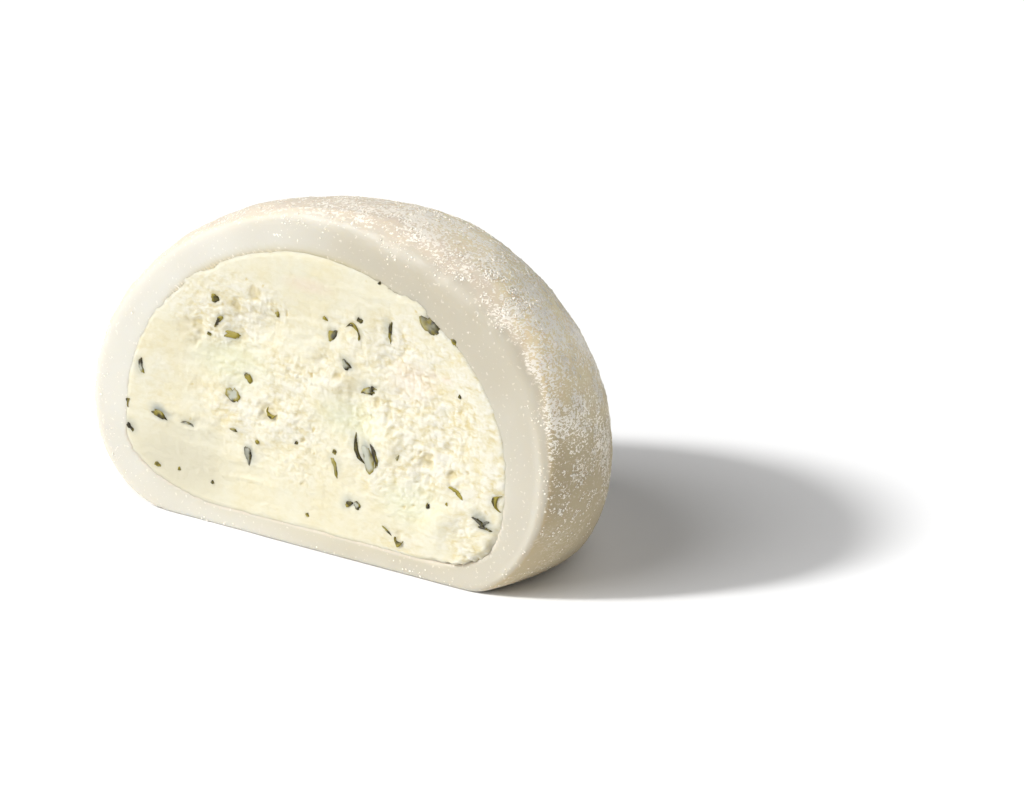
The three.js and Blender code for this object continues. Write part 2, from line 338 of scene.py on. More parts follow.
def select_points(mesh, chosen):
    """Selects these vertices, and the faces that have only such vertices."""
    mesh.vertices.foreach_set("select", chosen)
    mesh.update()
    edges = read(mesh.edges, "vertices", 2, np.int32)
    mesh.edges.foreach_set("select", chosen[edges].all(axis=1))
    faces = np.array([all(chosen[k] for k in face.vertices) for face in mesh.polygons])
    mesh.polygons.foreach_set("select", faces)


def paint(mesh, name, values):
    """Stores one number for each vertex, which the materials read by name."""
    layer = mesh.attributes.get(name) or mesh.attributes.new(name, "FLOAT", "POINT")
    layer.data.foreach_set("value", np.asarray(values, np.float32))


def mesh_object(name, points, faces):
    """An object from points in millimetres and rows of corner numbers, all rows of one length."""
    mesh = bpy.data.meshes.new(name)
    mesh.vertices.add(len(points))
    mesh.loops.add(faces.size)
    mesh.polygons.add(len(faces))
    mesh.vertices.foreach_set("co", (points * MM).astype(np.float32).ravel())
    mesh.loops.foreach_set("vertex_index", faces.astype(np.int32).ravel())
    mesh.polygons.foreach_set("loop_start", np.arange(len(faces), dtype=np.int32) * faces.shape[1])
    mesh.update(calc_edges=True)
    mesh.validate()
    return add_object(name, mesh)


def finished(obj, material, node=None, flat=False):
    """Gives a piece its finish, lets it ride on the body and hides the solid that it stands for."""
    obj.data.materials.append(material)
    obj.data.polygons.foreach_set("use_smooth", np.full(len(obj.data.polygons), not flat))
    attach(obj, BODY)
    if node:
        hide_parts(node)
    return obj


# ---- Repeatable noise ----


def cell_value(cells, seed):
    """Repeatable random number from 0 to 1 for each cell of a grid: the usual sine hash."""
    mixed = np.sin(cells @ np.array([127.1, 269.5, 311.7]) + seed * 74.7) * 43758.5453
    return mixed - np.floor(mixed)


def lumps(points, size, seed):
    """Soft random lumps of one size, from -1 to 1."""
    place = points / size
    low = np.floor(place)
    share = place - low
    share = share * share * (3 - 2 * share)
    total = np.zeros(len(points))
    for corner in itertools.product((0, 1), repeat=3):
        weight = np.where(np.array(corner) == 1, share, 1 - share).prod(axis=1)
        total += weight * cell_value(low + corner, seed)
    return 2 * total - 1


def cells(points, size, seed):
    """Distance to the nearest and the next cell middle, in cells, and a number for the cell."""
    place = points / size
    low = np.floor(place)
    near = np.full(len(points), 9.0)
    after = near.copy()
    value = np.zeros(len(points))
    for step in itertools.product((-1, 0, 1), repeat=3):
        cell = low + step
        middle = cell + columns(*(cell_value(cell, seed + k / 7) for k in (1, 2, 3)))
        away = np.linalg.norm(place - middle, axis=1)
        closer = away < near
        after = np.where(closer, near, np.minimum(after, away))
        value = np.where(closer, cell_value(cell, seed + 0.5), value)
        near = np.where(closer, away, near)
    return near, after, value


def grains(points, size, seed):
    """Rounded crumbs with narrow valleys between them, 0 in a valley to 1 on a high crumb."""
    near, after, value = cells(points, size, seed)
    return rise(after - near, 0.0, 0.5) * (0.35 + 0.65 * value)


# ---- The torn face of the filling ----


def within(x, z, place, core=0.65, fade=1.5):
    """How much a point belongs to a place: 1 in its core, 0 well outside."""
    away = np.hypot((x - place[0]) / place[2], (z - place[1]) / place[3])
    return fall(away, core, fade)


def among(x, z, places, core=0.65, fade=1.5):
    """How much a point belongs to the nearest of some places."""
    return np.max([within(x, z, place, core, fade) for place in places], axis=0)


def on_face(x, z):
    return columns(x, np.zeros_like(x), z)


def large_form(x, z):
    """Depth of the face behind the cut in its large lumps, as the solid has it."""
    middle = (FLOOR_OF_CREAM + TOP_OF_CREAM) / 2
    lumpy = among(x, z, LUMPY)
    forward = sum(place[4] * within(x, z, place) for place in LUMPY)
    flat = on_face(x, z)
    relief = sum(lumps(flat, size, k + 1) / (k + 1) for k, size in enumerate(LUMP_SIZES))
    depth = LUMP * (SMOOTHED + (1 - SMOOTHED) * lumpy)
    return SET_BACK + LEAN * (z - middle) - forward + depth * relief


def herb_cover(x, z, grow, soft):
    """How far each point lies under a leaf, and how far a leaf shows through the cream there."""
    cover = np.zeros_like(x)
    stain = np.zeros_like(x)
    for herb in HERBS:
        turn = math.radians(herb.turn)
        along = (x - herb.x) * math.cos(turn) + (z - herb.z) * math.sin(turn)
        across = -(x - herb.x) * math.sin(turn) + (z - herb.z) * math.cos(turn)
        away = np.hypot(along / (herb.long / 2 + grow), across / (herb.wide / 2 + grow))
        cover = np.maximum(cover, fall(away, 0.8, 1.2))
        lifted = np.hypot(along / (herb.long / 2 + soft), (across - soft / 2) / (herb.wide / 2 + soft))
        stain = np.maximum(stain, herb.halo * fall(lifted, 0.2, 1.1))
    return cover, stain


def face_details(x, z, sizes):
    """Forward relief of the face in millimetres, and what the cream's material reads."""
    flat = on_face(x, z)
    still = np.zeros_like(x)
    warp = 0.30 * columns(lumps(flat, 1.3, 11), still, lumps(flat, 1.3, 12))
    warp += 0.10 * columns(lumps(flat, 0.4, 21), still, lumps(flat, 0.4, 22))
    bent = flat + warp
    rough = np.max([place[4] * within(x, z, place) for place in CRUMBLY], axis=0)
    patchy = np.clip(rough * (0.9 + 0.55 * lumps(flat, 2.4, 13)), 0.0, 1.0)
    width = sizes.crumb_width / MM
    height = sizes.crumb_height / MM
    pulled = fall(x, -8.0, 0.0)
    curdled = columns(bent[:, 0] * (0.7 - 0.25 * pulled), still, bent[:, 2] * 1.1)
    puffs = 0.8 * np.abs(lumps(curdled, 1.7 * width, 14))
    puffs += 0.7 * np.abs(lumps(curdled, 0.9 * width, 15))
    puffs += 0.6 * np.abs(lumps(curdled, 0.5 * width, 16))
    heap = 0.6 * rise(puffs, 0.1, 1.2) + 0.4 * grains(bent, 0.62 * width, 25)
    relief = patchy * height * (heap - 0.45)

    dragged = lumps(bent * (0.16, 1.0, 2.4), 1.0, 17)
    relief += (1 - patchy) * height * 0.24 * dragged
    relief += height * (0.12 * lumps(flat, 0.5, 18) + (0.09 + 0.06 * patchy) * lumps(flat, 0.25, 23))

    near, _, value = cells(bent, 1.0, 19)
    near = near + 0.12 * lumps(flat, 0.3, 29)
    hole = fall(near, 0.04 + 0.02 * patchy, 0.16 + 0.1 * patchy)
    hole *= value < 0.10 + 0.18 * patchy
    # Painted shade: pits, hollows and valleys between crumbs take the deeper yellow; painted highlight:
    # high crumbs take the whiter curd
    pit_shade = 0.9 * hole
    relief -= hole * height * (0.2 + 0.3 * patchy)
    for place in HOLLOWS:
        away = np.hypot(x - place[0], z - place[1]) / place[2]
        away += 0.8 * lumps(flat, 0.9, 20) + 0.5 * lumps(flat, 0.35, 28)
        inside = fall(away, 0.1, 1.3)
        relief -= 0.55 * inside * place[3]
        pit_shade = np.maximum(pit_shade, 0.65 * inside * min(1.0, 0.5 / place[2]))
    valley = patchy * fall(heap, 0.1, 0.42)
    pit_shade = np.clip(np.maximum(pit_shade, 0.3 * valley), 0.0, 1.0)
    curd_and_highlight = np.clip(patchy * rise(heap, 0.4, 0.8) * 1.1, 0.0, 1.0)

    cover, stain = herb_cover(x, z, 0.10, 0.55)
    relief = relief * (1 - 0.6 * cover) - 0.05 * cover
    stain = stain * (0.75 + 0.35 * lumps(flat, 0.7, 24))
    stain = np.clip(stain, 0.0, 1.0)
    return relief, {"pit_shade": pit_shade, "curd_and_highlight": curd_and_highlight, "stain": stain, "rough": 0.2 + 0.8 * patchy}


def face_level(x, z, sizes):
    """Depth of the face behind the cut in millimetres, level with the dough along its edge, and
    what the cream's material reads."""
    relief, paints = face_details(x, z, sizes)
    flat = on_face(x, z)
    turn = np.arctan2(z - HEART_Z, x - HEART_X)
    past = np.hypot(x - HEART_X, z - HEART_Z) - radius_at(softened(OUTLINES["cream"], 3), turn)
    ragged = among(x, z, RAGGED)
    wavy = lumps(flat, 1.1, 27) + 0.6 * lumps(flat, 0.5, 30)
    past += (0.04 + 0.3 * ragged) * wavy * (past > -2.0)
    depth = large_form(x, z) - relief
    level = rise(past, -6.0, -0.8) * (1 - 0.6 * within(x, z, SPILLED))
    depth += level * (EDGE_PROUD - 0.4 * relief - depth)
    dip = 0.3 - 0.14 * fall(z, 3.0, 8.0) + 0.42 * within(x, z, SPILLED)
    depth += dip * rise(past, EDGE_STARTS, FACE_EDGE)
    depth += 0.03 * lumps(flat, 1.5, 26) * rise(past, -1.2, -0.4)
    return depth, paints


def face_depth(x, z, sizes):
    """World y of the face in millimetres."""
    return CUT_Y + face_level(x, z, sizes)[0]


# ---- Outlines read from the solids ----


def solid_tree(node):
    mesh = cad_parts[node].data
    corners = [face.vertices for face in mesh.polygons]
    return BVHTree.FromPolygons([v.co for v in mesh.vertices], corners)


RAYS = 720
RAY_TURNS = np.arange(RAYS) / RAYS * 2 * math.pi


def outline(tree, depth, from_outside=False):
    """Radii in millimetres round the heart, of the solid's outline at a depth behind the cut."""
    far = 60.0
    radii = []
    for turn in RAY_TURNS:
        way = Vector((math.cos(turn), 0.0, math.sin(turn)))
        start = Vector((CUT_X + HEART_X, CUT_Y + depth, HEART_Z)) * MM
        if from_outside:
            hit = tree.ray_cast(start + way * far * MM, -way)
            radii.append(far - hit[3] / MM)
        else:
            hit = tree.ray_cast(start, way)
            radii.append(hit[3] / MM)
    return np.array(radii)


def radius_at(radii, turn):
    """Radius of an outline in any direction."""
    return np.interp(np.mod(turn, 2 * math.pi), RAY_TURNS, radii, period=2 * math.pi)


def softened(radii, steps):
    """An outline with its small corners rounded."""
    kernel = np.ones(2 * steps + 1) / (2 * steps + 1)
    wrapped = np.concatenate([radii[-steps:], radii, radii[:steps]])
    return np.convolve(wrapped, kernel, mode="valid")


# ---- Materials ----


def node(tree, kind, values=None, links=None, **settings):
    """Adds a shader node: settings are its own, values and links go to its input sockets."""
    made = tree.nodes.new(kind)
    for name, value in settings.items():
        setattr(made, name, value)
    for socket, value in (values or {}).items():
        made.inputs[socket].default_value = value
    for socket, source in (links or {}).items():
        tree.links.new(source, made.inputs[socket])
    return made


def new_material(name):
    """An empty node material: its tree, its shader and the coordinates of the piece in metres."""
    material = bpy.data.materials.new(name)
    material.use_nodes = True
    tree = material.node_tree
    shader = tree.nodes["Principled BSDF"]
    place = node(tree, "ShaderNodeTexCoord").outputs["Object"]
    return material, tree, shader, place


def painted(tree, name):
    """The number that the piece carries under this name."""
    return node(tree, "ShaderNodeAttribute", attribute_name=name).outputs["Fac"]


def noise(tree, place, width_mm, detail, roughness=0.5, distortion=0.0):
    """A random number, mostly near 0.5, in soft patches of this width."""
    values = {
        "Scale": 1 / (width_mm * MM),
        "Detail": detail,
        "Roughness": roughness,
        "Distortion": distortion,
    }
    return node(tree, "ShaderNodeTexNoise", values, {"Vector": place}).outputs["Fac"]


def stretched(tree, place, factors):
    """Coordinates times a factor on each axis: above 1 a pattern gets narrower along it."""
    return node(tree, "ShaderNodeVectorMath", {1: factors}, {0: place}, operation="MULTIPLY").outputs[0]


def ranged(tree, value, low=0.0, high=1.0, to_low=0.0, to_high=1.0):
    """A number carried from one range to another and kept inside it."""
    values = {"From Min": low, "From Max": high, "To Min": to_low, "To Max": to_high}
    return node(tree, "ShaderNodeMapRange", values, {"Value": value}).outputs["Result"]


def calculate(tree, operation, *terms):
    """The result of an operation on terms that are sockets or numbers."""
    values = {k: term for k, term in enumerate(terms) if isinstance(term, float)}
    links = {k: term for k, term in enumerate(terms) if k not in values}
    return node(tree, "ShaderNodeMath", values, links, operation=operation).outputs[0]


MIX_SHARE, MIX_A, MIX_B, MIX_COLOUR = 0, 6, 7, 2  # sockets of the Mix node when it mixes colours


def blend(tree, share, a, b):
    """A colour between a and b, each a socket or a linear colour."""
    values = {}
    links = {MIX_SHARE: share}
    for socket, item in ((MIX_A, a), (MIX_B, b)):
        if isinstance(item, Color):
            values[socket] = (*item, 1.0)
        else:
            links[socket] = item
    return node(tree, "ShaderNodeMix", values, links, data_type="RGBA").outputs[MIX_COLOUR]


def set_inputs(tree, shader, **inputs):
    """Gives the shader its inputs, each a socket or a value."""
    for name, item in inputs.items():
        socket = shader.inputs[name.replace("_", " ")]
        if isinstance(item, bpy.types.NodeSocket):
            tree.links.new(item, socket)
        else:
            socket.default_value = item


def roughen(tree, shader, height, strength, depth_mm):
    """Gives the surface a fine bump from a height between 0 and 1."""
    values = {"Strength": strength, "Distance": depth_mm * MM}
    bump = node(tree, "ShaderNodeBump", values, {"Height": height})
    tree.links.new(bump.outputs["Normal"], shader.inputs["Normal"])


def dough_material(colours):
    """Steamed glutinous rice dough, rolled and knife cut: milky, slightly moist where it is cut,
    and dull under a film of starch on the skin. Light spreads about a millimetre and a half in it."""
    material, tree, shader, place = new_material("Steamed rice dough")
    skin, lit_side_shade, dust, glint = (painted(tree, name) for name in ("skin", "lit_side_shade", "dust", "glint"))
    # Darker cut dough: partly a deeper tone, partly painted shade on the parts of the cut away from the
    # light
    cut = blend(tree, painted(tree, "deep"), colours.dough, colours.dough_deep_and_shaded)
    # The tint near the cream, with painted shadow under the lip and below the cream
    cut = blend(tree, painted(tree, "joint_tint_and_shade"), cut, colours.dough_tint_and_shade)
    clouds = ranged(tree, noise(tree, place, 4.5, 3.0), 0.3, 0.7, to_high=0.1)
    # Darker bare skin low down: partly moist skin bare of starch, partly painted shade towards the floor
    bare = blend(tree, painted(tree, "low"), colours.skin, colours.skin_shaded_low)
    bare = blend(tree, clouds, bare, colours.skin_shaded_low)
    # Painted shade: bare skin darker where it faces the key light
    bare = blend(tree, lit_side_shade, bare, colours.skin_lit_side_shaded)
    base = blend(tree, skin, cut, bare)

    strokes = noise(tree, stretched(tree, place, (1.0, 1.0, 1.9)), 0.29, 2.0, distortion=0.7)
    level = calculate(tree, "MULTIPLY_ADD", noise(tree, place, 3.2, 2.0), 0.6, strokes)
    level = calculate(tree, "MULTIPLY_ADD", dust, 0.17, level)
    strength = ranged(tree, dust, high=0.5)
    film = calculate(tree, "MULTIPLY", ranged(tree, level, 0.95, 0.98), strength)
    # Painted shade: the starch film darker where it faces the key light
    base = blend(tree, film, base, blend(tree, lit_side_shade, colours.film, colours.film_lit_side_shaded))

    # Small white specks of starch over the dough, made denser and brighter into painted glints where
    # glint is painted
    level = calculate(tree, "MULTIPLY_ADD", glint, 0.06, noise(tree, place, 0.32, 1.0))
    bright = ranged(tree, glint, to_low=0.22, to_high=0.95)
    specks_and_glints = calculate(tree, "MULTIPLY", ranged(tree, level, 0.66, 0.71), bright)
    base = blend(tree, specks_and_glints, base, colours.film)

    spread = ranged(tree, painted(tree, "open"), to_low=0.1, to_high=0.8)
    crisp = ranged(tree, film, to_low=1.0, to_high=0.1)
    set_inputs(
        tree,
        shader,
        Base_Color=base,
        Roughness=ranged(tree, skin, to_low=0.42, to_high=0.8),
        IOR=1.42,
        Subsurface_Weight=calculate(tree, "MULTIPLY", spread, crisp),
        Subsurface_Radius=(1.0, 0.8, 0.55),
        Subsurface_Scale=1.6 * MM,
    )
    roughen(tree, shader, noise(tree, place, 0.3, 4.0), 0.35, 0.02)
    return material


def cream_material(colours):
    """Whipped cream cheese filling, torn by the knife: ivory and matt, with painted highlight whitening
    the tops of its crumbs and painted shade warming its hollows, since light from deep in it is
    yellower."""
    material, tree, shader, place = new_material("Cream cheese filling")
    clouds = ranged(tree, noise(tree, place, 2.6, 4.0), 0.35, 0.65)
    base = blend(tree, clouds, colours.cream_warm, colours.cream)
    curdled = noise(tree, stretched(tree, place, (0.55, 1.0, 1.2)), 0.5, 3.0, 0.6, 0.5)
    rough = painted(tree, "rough")
    # Random patches of deeper yellow and whiter curd, in the colours of the painted shade and highlight
    for colour, low, high, most in (
        (colours.cream_pit_shade, 0.45, 0.37, 0.5),
        (colours.curd_and_highlight, 0.5, 0.57, 0.85),
    ):
        share = calculate(tree, "MULTIPLY", ranged(tree, curdled, low, high), rough)
        base = blend(tree, calculate(tree, "MULTIPLY", share, most), base, colour)
    # dull is painted shade; pink and green are the cream's own tints
    for name, colour, most in (
        ("dull", colours.cream_shaded, 1.0),
        ("green", colours.cream_green, 0.55),
        ("pink", colours.cream_pink, 0.5),
        ("curd_and_highlight", colours.curd_and_highlight, 0.7),
        ("pit_shade", colours.cream_pit_shade, 0.9),
        ("stain", colours.stain, 1.0),
    ):
        base = blend(tree, calculate(tree, "MULTIPLY", painted(tree, name), most), base, colour)
    set_inputs(
        tree,
        shader,
        Base_Color=base,
        Roughness=0.55,
        IOR=1.4,
        Subsurface_Weight=0.85,
        Subsurface_Radius=(1.0, 0.95, 0.85),
        Subsurface_Scale=0.8 * MM,
    )
    roughen(tree, shader, noise(tree, place, 0.22, 4.0), 0.6, 0.04)
    return material


def herb_material(colours):
    """Chopped wilted herb leaf: dark olive, yellower in places, greyish where cream covers it."""
    material, tree, shader, place = new_material("Chopped herb leaf")
    shade = ranged(tree, noise(tree, place, 0.35, 3.0), 0.47, 0.62)
    base = blend(tree, shade, colours.herb_dark, colours.herb_olive)
    base = blend(tree, painted(tree, "yellow"), base, colours.herb_yellow)
    base = blend(tree, painted(tree, "pale"), base, colours.herb_pale)
    set_inputs(tree, shader, Base_Color=base, Roughness=0.5, IOR=1.4)
    return material


def starch_material(colours):
    """Dry potato starch: white, dull grains that bounce light around between them."""
    material, tree, shader, place = new_material("Potato starch")
    tone = blend(tree, noise(tree, place, 0.8, 2.0), colours.starch_deep, colours.starch)
    set_inputs(tree, shader, Base_Color=tone, Roughness=0.55, IOR=1.5)
    return material


def floor_material(colours):
    """Matt white sweep, bright enough to be lost in the white of the background."""
    material, tree, shader = new_material("Matt white sweep")[:3]
    set_inputs(tree, shader, Base_Color=(*colours.floor, 1.0), Roughness=0.9, Specular_IOR_Level=0.0)
    return material


# ---- Dough wrapper ----


def thin_hidden(obj, sizes):
    """Lets the wall of the hollow and the base keep only large faces."""
    mesh = obj.data
    points = read_points(mesh)
    normals = read_normals(mesh)
    tree = solid_tree("filling")
    reach = 0.7 * MM
    behind = points[:, 1] > CUT_Y + 2.0
    near = np.array([
        bool(behind[k]) and tree.find_nearest(Vector(point) * MM, reach)[0] is not None
        for k, point in enumerate(points)
    ])
    foot = (normals[:, 2] < -0.995) & (points[:, 2] < 0.15)
    select_points(mesh, near | foot)
    edit(obj, lambda: bpy.ops.mesh.decimate(ratio=sizes.hidden_share))


def round_heart(points):
    """How far each point is from the heart, seen from the front, and in which direction."""
    x = points[:, 0] - CUT_X - HEART_X
    z = points[:, 2] - HEART_Z
    return np.hypot(x, z), np.arctan2(z, x)


def across_rim(points):
    """Across the rim of the cut: 0 at the filling's edge, 1 at the outer edge."""
    away, turn = round_heart(points)
    inner = radius_at(OUTLINES["cream"], turn)
    outer = radius_at(OUTLINES["skin"], turn)
    return (away - inner) / (outer - inner)


def in_hollow(points, normals, margin=0.12):
    """True on the wall of the hollow and, at the cut, up to a margin across the rim."""
    rim = across_rim(points)
    depth = points[:, 1] - CUT_Y
    from_heart = points - (CUT_X + HEART_X, CUT_Y, HEART_Z)
    faces_heart = np.sum(normals * from_heart, axis=1) < 0
    return (rim < margin) & (depth < 1.0) | (depth > 0.3) & faces_heart


def painted_lip_shadow(turn):
    """1 in the directions where a lip of dough hangs over the cream, whose shadow is painted on the
    dough.
    """
    return fall(np.abs(turn - LIP_TURN), 0.4, 0.9)


def smooth_dough(obj, sizes):
    """Blurs the facets of the dough but leaves its opening crisp, in steps of a tenth."""
    points = read_points(obj.data)
    rim = across_rim(points)
    depth = points[:, 1] - CUT_Y
    opening = fall(rim, 0.2, 0.45) * fall(depth, 1.0, 2.5)
    group = obj.vertex_groups.new(name="soft")
    for level in range(1, 11):
        chosen = np.flatnonzero(np.round((1 - opening) * 10) == level)
        group.add(chosen.tolist(), level / 10, "REPLACE")
    modify(obj, "SMOOTH", factor=0.5, iterations=sizes.smoothing, vertex_group="soft")
    obj.vertex_groups.clear()


def round_rim(points):
    """Rolls the cut face over into the skin: moves the points, tells how far each is round the bend.

    The way across the corner, along the face and then along the skin, is wrapped on a quarter of a
    circle of the radius that the rim has in that direction.
    """
    away, turn = round_heart(points)
    turns, radii = np.array(ROUNDED_RIM).T
    radius = np.maximum(np.interp(turn, turns, radii), 0.01)
    behind = np.maximum(points[:, 1] - CUT_Y, 0.0)
    inward = np.maximum(radius_at(OUTLINES["dome"], turn) - away, 0.0)
    way = (radius + behind - inward) / (2 * radius)
    way = np.where(behind > radius + 1.0, 1.0, way)
    way = np.where((behind > 0.5) & (inward > 1.6), 0.0, way)
    angle = np.clip(way, 0.0, 1.0) * math.pi / 2
    share = rise(radius, 0.6, 1.3) * (way > 0) * (way < 1)
    step_in = share * (radius * (1 - np.sin(angle)) - inward) * fall(way, 0.75, 1.0)
    step_back = share * (radius * (1 - np.cos(angle)) - behind)
    points[:, 0] -= step_in * np.cos(turn)
    points[:, 1] += step_back
    points[:, 2] -= step_in * np.sin(turn)
    return np.clip(way, 0.0, 1.0), radius


def rubbed(normals):
    """1 where the skin faces the lights and has less starch left on it: partly rubbed off, partly
    painted shade on the lit side.
    """
    return rise(normals @ RUBBED_TOWARD_LIGHT, 0.2, 0.85)


def glint_share(place):
    """1 where glints are painted together on the cut dough."""
    x, z = place[:, 0] - CUT_X, place[:, 2]
    grouped = rise(lumps(place, 0.8, 64), -0.1, 0.6)
    return among(x, z, GLINT_PLACES, 0.3, 1.2) * grouped * (place[:, 1] < CUT_Y + 2.0)


def shape_dough(obj, sizes):
    """Soft swells of the skin, the rounded right side of the rim, and what the material reads."""
    mesh = obj.data
    points = read_points(mesh)
    normals = read_normals(mesh)
    rim = across_rim(points)
    turn = round_heart(points)[1]
    depth = points[:, 1] - CUT_Y
    facing = -normals[:, 1]
    hollow = in_hollow(points, normals)
    on_rim = rise(facing, 0.35, 0.8) * fall(depth, 0.6, 1.6)
    skin = np.where(hollow, 0.0, 1 - on_rim)
    film_on_edge = np.where(hollow, 0.0, fall(facing, 0.7, 0.97))
    above = rise(points[:, 2], 0.2, 1.5)

    swell = 0.10 * lumps(points, 5.0, 31) + 0.07 * lumps(points, 2.2, 32)
    swell += 0.03 * lumps(points, 0.9, 33)
    caked = grains(points, 0.75, 34) * rise(lumps(points, 1.6, 35), -0.4, 0.6)
    outward = skin * above * (swell + 0.05 * caked)
    outward += on_rim * (0.05 * lumps(points, 4.0, 36) + 0.012 * lumps(points, 0.8, 37))
    points = points + normals * outward[:, None]

    closing = fall(rim, 0.02, 0.4) * fall(depth, 1.5, 3.5) * sizes.closing / MM
    points[:, 0] -= closing * np.cos(turn)
    points[:, 2] -= closing * np.sin(turn)

    way, radius = round_rim(points)
    beaded = fall(np.abs(turn + 0.05), 0.2, 0.5) * fall(depth, 0.5, 3.0)
    points[:, 1] -= beaded * 0.12 * np.exp(-(((rim - 0.82) / 0.1) ** 2))
    points[:, 2] = np.maximum(points[:, 2], 0.0)
    write_points(mesh, points)

    rolled = rise(radius, 0.6, 1.6) * (depth < 6.0)
    drifting = rise(way + 0.12 * lumps(points, 1.1, 39), 0.3, 0.75)
    skin = np.maximum(skin, film_on_edge) * (1 - rolled) + rolled * np.where(hollow, 0.0, drifting)
    skin = np.where(depth < 1.5, skin * rise(points[:, 2], 0.2, 1.2), skin)
    paint(mesh, "skin", skin)
    # Painted glints on the cut dough
    paint(mesh, "glint", glint_share(points))
    # Darker skin towards the floor: partly barer moist skin, partly painted shade low down
    paint(mesh, "low", fall(points[:, 2], 9.5, 21.5))
    joint = round_heart(points)[0] - radius_at(OUTLINES["cream"], turn)
    joint = np.where(hollow | (depth < 2.0), joint, 1.0)
    paint(mesh, "open", rise(joint, -0.3, 0.6))
    # Along the joint with the cream: a faint tint where the filling shines through all round, with
    # painted shadow under the lip of dough and a band of painted shadow below the cream's lower edge
    below = fall(np.abs(turn + 1.6), 0.9, 1.5)
    joint_tint_and_shade = (0.12 + 0.88 * painted_lip_shadow(turn)) * fall(joint, -0.35, 0.6)
    paint(mesh, "joint_tint_and_shade", np.maximum(joint_tint_and_shade, 0.25 * below * fall(joint, 0.0, 1.6)))
    normals = read_normals(mesh)
    # Painted shade: how far the skin faces the key light, where its colours are darkened
    paint(mesh, "lit_side_shade", rise(normals @ TO_LIGHT, 0.1, 0.64))
    high = rise(points[:, 2], 6.0, 19.0)
    near_cut = rolled * fall(depth, 2.0, 6.0)
    # Less starch film where the skin faces the lights: partly rubbed off, partly painted shade on the
    # lit side
    starch_left = 1 - 0.6 * rubbed(normals)
    paint(mesh, "dust", skin * (0.1 + 0.9 * high) * starch_left * (0.85 + 0.15 * near_cut))
    # Darker cut dough by direction: partly deeper tone, partly painted shade away from the light
    turns, shares = np.array(DEEP_AND_SHADED_DOUGH).T
    clouds = 0.12 * lumps(points, 3.0, 38)
    paint(mesh, "deep", np.clip(np.interp(turn, turns, shares) + clouds, 0.0, 1.0))


def make_dough(scene):
    """A copy of the solid on an even fine grid, smoothed and then softly shaped."""
    sizes = scene.mochi_sizes
    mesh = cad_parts["dough"].data.copy()
    mesh.materials.clear()
    obj = add_object("dough_wrapper", mesh)
    weld(obj, 0.001)
    modify(obj, "REMESH", mode="VOXEL", voxel_size=sizes.dough_grid)
    smooth_dough(obj, sizes)
    thin_hidden(obj, sizes)
    shape_dough(obj, sizes)
    return finished(obj, dough_material(scene.mochi_colours), "dough")


# ---- Cream filling ----

RINGS_BEHIND = (1.7, 2.4, 3.5, 5.0, 6.8, 8.6, 10.4, 12.2, 13.9, 15.4, 16.7, 17.7, 18.4)
INTO_DOUGH = 3.0  # depth by which the filling is back inside its solid


def make_filling(scene):
    """A fine grid pressed into the outline of the cut, its edge carried back round the dome."""
    sizes = scene.mochi_sizes
    opening = softened(OUTLINES["cream"], 3)
    counts = {"x_subdivisions": sizes.face_columns, "y_subdivisions": sizes.face_rows}
    obj = add_primitive("primitive_grid_add", size=2, **counts)
    obj.name = obj.data.name = "cream_filling"
    mesh = obj.data
    flat = read_points(mesh) * MM
    u, v = flat[:, 0], flat[:, 1]
    disc_x = u * np.sqrt(1 - v * v / 2)
    disc_z = v * np.sqrt(1 - u * u / 2)
    turn = np.arctan2(disc_z, disc_x)
    reach = np.hypot(disc_x, disc_z) * (radius_at(opening, turn) + FACE_EDGE)
    x = HEART_X + reach * np.cos(turn)
    z = HEART_Z + reach * np.sin(turn)
    depth, paints = face_level(x, z, sizes)
    write_points(mesh, columns(x + CUT_X, CUT_Y + depth, z))
    # dull is painted shade low on the left; pink and green are the cream's own tints
    for name, places in (("dull", SHADED_CREAM), ("pink", PINK_TINTS), ("green", GREEN_TINTS)):
        paints[name] = among(x, z, places, 0.2, 1.3)
    for name, values in paints.items():
        paint(mesh, name, values)

    tree = solid_tree("filling")
    edit(
        obj,
        lambda: bpy.ops.mesh.select_mode(type="VERT"),
        lambda: bpy.ops.mesh.select_all(action="DESELECT"),
        bpy.ops.mesh.select_non_manifold,
    )
    for depth in RINGS_BEHIND:
        edit(obj, bpy.ops.mesh.extrude_region_move)
        mesh = obj.data
        chosen = read(mesh.vertices, "select", 1, bool).ravel()
        points = read_points(mesh)
        ring = points[chosen]
        turn = round_heart(ring)[1]
        into = FACE_EDGE * fall(depth, 1.0, INTO_DOUGH)
        radii = radius_at(softened(outline(tree, depth), 3) + into, turn)
        ring[:, 0] = CUT_X + HEART_X + radii * np.cos(turn)
        ring[:, 1] = CUT_Y + depth
        ring[:, 2] = HEART_Z + radii * np.sin(turn)
        points[chosen] = ring
        write_points(mesh, points)
    edit(obj, lambda: bpy.ops.mesh.merge(type="CENTER"))
    return finished(obj, cream_material(scene.mochi_colours), "filling")


# ---- Herb leaves ----

LEAF_SIDES = 22
LEAF_RINGS = (0.0, 0.35, 0.65, 0.86, 1.0)
LEAF_THICK = 0.09
LEAF_WIDER = 1.25
LEAF_PROUD = 0.10  # how far the leaf stands out of the cream, but at its edge it lies under it
LEAF_SUNK = 0.20


